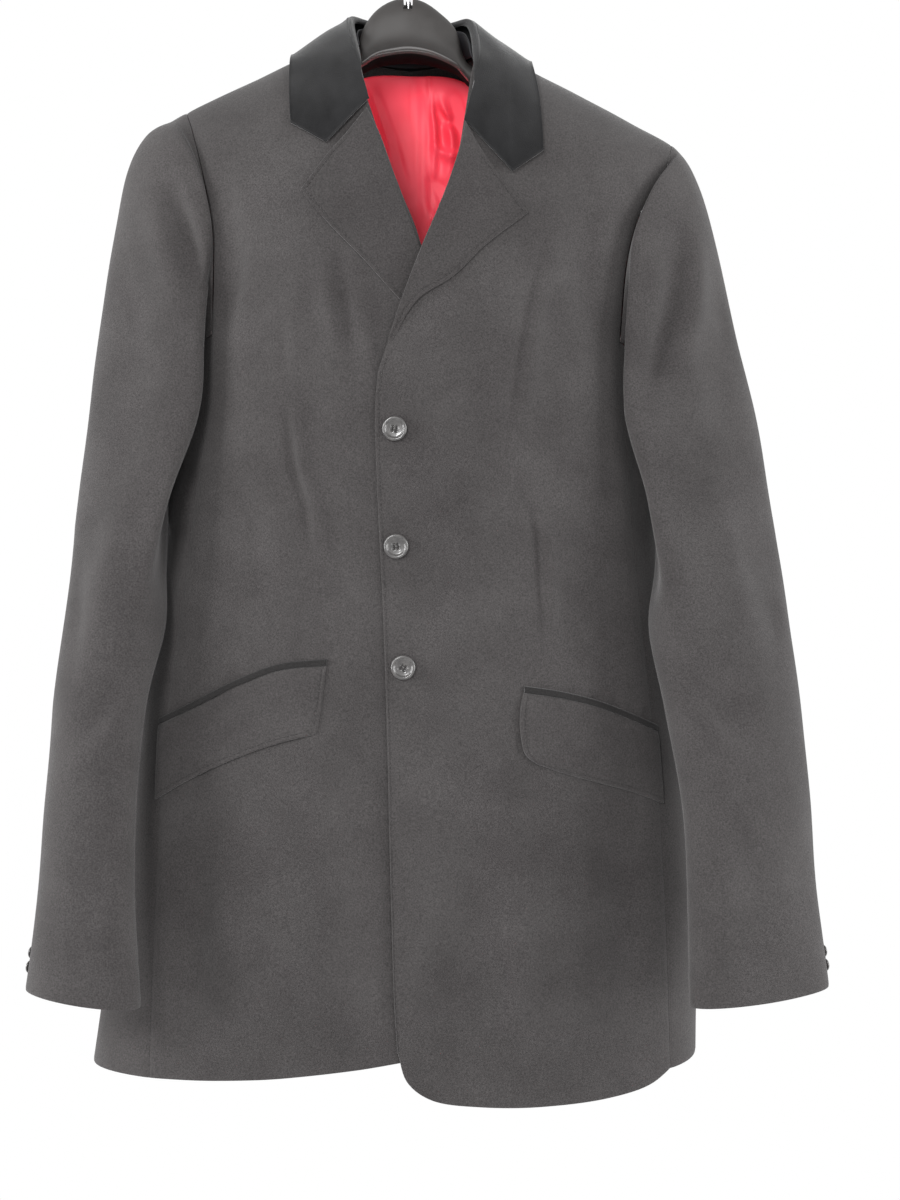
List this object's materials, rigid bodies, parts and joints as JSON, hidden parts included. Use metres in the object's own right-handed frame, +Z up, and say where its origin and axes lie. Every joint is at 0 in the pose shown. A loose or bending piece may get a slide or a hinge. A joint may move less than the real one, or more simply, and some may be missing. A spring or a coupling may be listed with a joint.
{
  "type": "riding jacket on a hanger",
  "caption": "Dark riding jacket with a velvet collar, notch lapels, slanted flap pockets and a red satin back lining, hanging buttoned on a moulded hanger with a wire hook.",
  "frame": {"origin": "inside top of the hanger's hook, where a rail carries it", "axes": "+Z up, the jacket's front faces -Y, and the wearer's left side is +X"},
  "size_m": [0.5843, 0.1624, 0.8984],
  "materials": {
    "cloth": "fine dark wool cloth, slightly napped",
    "velvet": "black velvet with a soft sheen",
    "satin": "red satin lining",
    "woven": "black woven band and bare label",
    "horn": "dark glossy button",
    "plastic": "moulded black plastic",
    "steel": "plated wire"
  },
  "bodies": {
    "root": {"front_right": "cloth", "front_left": "cloth", "back_right": "cloth", "back_left": "cloth", "side_right": "cloth", "side_left": "cloth", "sleeve_top_right": "cloth", "sleeve_under_right": "cloth", "sleeve_top_left": "cloth", "sleeve_under_left": "cloth", "lapel_right": "cloth", "lapel_left": "cloth", "collar": "velvet", "neck_band": "woven", "neck_label": "woven", "lining_back": "satin", "welt_right": "cloth", "flap_right": "cloth", "welt_left": "cloth", "flap_left": "cloth", "button_1": "horn", "button_2": "horn", "button_3": "horn", "cuff_button_right_1": "horn", "cuff_button_right_2": "horn", "cuff_button_left_1": "horn", "cuff_button_left_2": "horn", "hanger_body": "plastic", "hanger_hook": "steel"}
  },
  "joints": []
}
